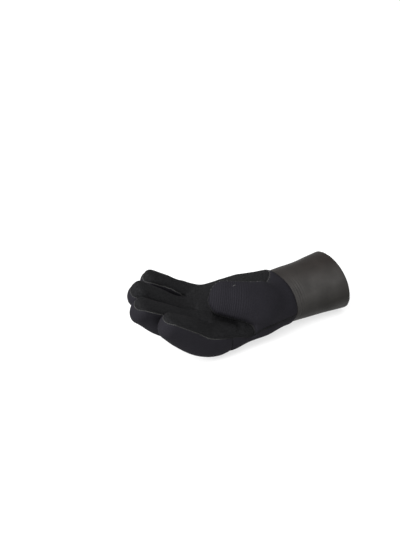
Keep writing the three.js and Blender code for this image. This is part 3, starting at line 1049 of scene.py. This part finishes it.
def dress():
    """Every piece of the glove."""
    skin, label = make_skin()
    tucked(skin, label)
    inner, edges, pair = shaped(skin, label)
    navy = cloth("navy_jersey", JERSEY, *NAVY)
    charcoal = cloth("charcoal_grip", GRIP, *CHARCOAL)
    lining = knit(*LINING)
    panels = [
        ("palm_panel", PALM, "grip_palm", charcoal),
        ("finger_back_panel", FINGER_BACK, "navy_jersey", navy),
        ("hand_back_panel", HAND_BACK, "navy_jersey", navy),
        ("thumb_panel", THUMB, "navy_jersey", navy),
        ("cuff", CUFF_LABEL, "smooth_skin", smooth_skin(*CUFF_COLOUR)),
    ]
    for node, wanted, slot, material in panels:
        piece = panel("fine_" + node, skin, inner, label == wanted, (material, lining))
        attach(piece, "root")
        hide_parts(node)
    sew(skin, edges, pair)


def sew(skin, edges, pair):
    """The beads and stitches of the seams, from their edges and the pair of labels beside each."""
    normals = point_normals(skin.points, skin.faces)
    threads = {name: thread(name, *colours) for name, colours in THREADS.items()}
    low, high = pair.T
    under = skin.get("under_thumb")[edges[:, 0]] > 0
    thumb_edge = (low == PALM) & (high == THUMB)
    chosen = {
        "palm_seam": (low == PALM) & np.isin(high, (FINGER_BACK, HAND_BACK)),
        "thumb_top_seam": thumb_edge & ~under,
        "thumb_low_seam": thumb_edge & under,
        "thumb_back_seam": (low == HAND_BACK) & (high == THUMB),
        "knuckle_seam": (low == FINGER_BACK) & (high == HAND_BACK),
        "wrist_seam": high == CUFF_LABEL,
    }
    for name, bead_thread, half_width, height, stitch_thread, pitch in SEAMS:
        seam = edges[chosen[name]]
        paths = seam_paths(skin, normals, seam, BEAD_STEP)
        parts = [bead(path, closed, half_width, height) for path, closed in paths]
        beads = sum(len(faces) for _, faces in parts)
        for path, closed in seam_paths(skin, normals, seam, pitch) if pitch else []:
            parts.append(stitches(path, closed, half_width + STITCH_REACH, height + STITCH_LIFT))
        if name == "thumb_top_seam":
            parts.append(tack(skin, normals))
        materials = [threads[kind] for kind in (bead_thread, stitch_thread) if kind]
        piece = finished(name, *joined(parts), materials, beads)
        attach(piece, "root")


def tack(skin, normals):
    """A bar of thread that lies on the skin between the tack's two ends."""
    share = np.linspace(0, 1, TACK_STEPS)[:, None]
    start, end = np.array(TACK_ENDS)
    places = start * (1 - share) + end * share
    nearest = [int(((skin.points - place) ** 2).sum(1).argmin()) for place in places]
    facing = normals[nearest]
    lift = ((skin.points[nearest] - places) * facing).sum(1, keepdims=True)
    path = np.hstack([places + lift * facing, facing])
    return bead(path, False, TACK_RADIUS, TACK_RADIUS)


def aimed(name, data, azimuth, elevation, distance, target=(0, 0, 0)):
    """A lamp or a camera at a distance from its target, in metres, at two angles in degrees."""
    a, e = math.radians(azimuth), math.radians(elevation)
    away = Vector((math.sin(a) * math.cos(e), -math.cos(a) * math.cos(e), math.sin(e)))
    made = bpy.data.objects.new(name, data)
    made.location = Vector(target) + away * distance
    made.rotation_euler = away.to_track_quat("Z", "Y").to_euler()
    bpy.context.scene.collection.objects.link(made)
    return made


def set_stage():
    """A pale floor, soft light, and the camera."""
    corners = [(x * FLOOR_HALF, y * FLOOR_HALF, 0) for x, y in ((-1, -1), (1, -1), (1, 1), (-1, 1))]
    floor = mesh_object("floor", corners, [(0, 1, 2, 3)])
    floor.location.z = -FLOOR_DROP
    floor.data.materials.append(backdrop(*FLOOR_COLOUR))

    scene = bpy.context.scene
    scene.view_settings.view_transform = "Standard"
    world = bpy.data.worlds.new("studio")
    world.use_nodes = True
    sky = world.node_tree.nodes["Background"]
    sky.inputs["Color"].default_value = (1, 1, 1, 1)
    sky.inputs["Strength"].default_value = SKY
    scene.world = world

    for name, azimuth, elevation, size, power in LIGHTS:
        lamp = bpy.data.lights.new(name, "AREA")
        lamp.shape = "DISK"
        lamp.size = size
        lamp.energy = power
        aimed(name, lamp, azimuth, elevation, LIGHT_DISTANCE)

    lens = bpy.data.cameras.new("camera")
    lens.sensor_fit = "HORIZONTAL"
    lens.sensor_width = 36
    lens.lens = lens.sensor_width * CAMERA["distance"] / (CAMERA["mm_per_pixel"] * PHOTO_WIDTH)
    lens.clip_end = 50
    target, distance = (PLACE + TARGET) * MM, CAMERA["distance"] * MM
    scene.camera = aimed("camera", lens, CAMERA["azimuth"], CAMERA["elevation"], distance, target)


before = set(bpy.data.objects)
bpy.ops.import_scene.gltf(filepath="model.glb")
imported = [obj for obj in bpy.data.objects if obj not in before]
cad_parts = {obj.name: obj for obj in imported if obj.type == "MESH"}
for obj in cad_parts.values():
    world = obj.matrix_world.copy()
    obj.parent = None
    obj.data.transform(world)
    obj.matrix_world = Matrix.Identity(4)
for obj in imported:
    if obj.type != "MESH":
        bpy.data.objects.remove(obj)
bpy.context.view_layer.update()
set_stage()
dress()
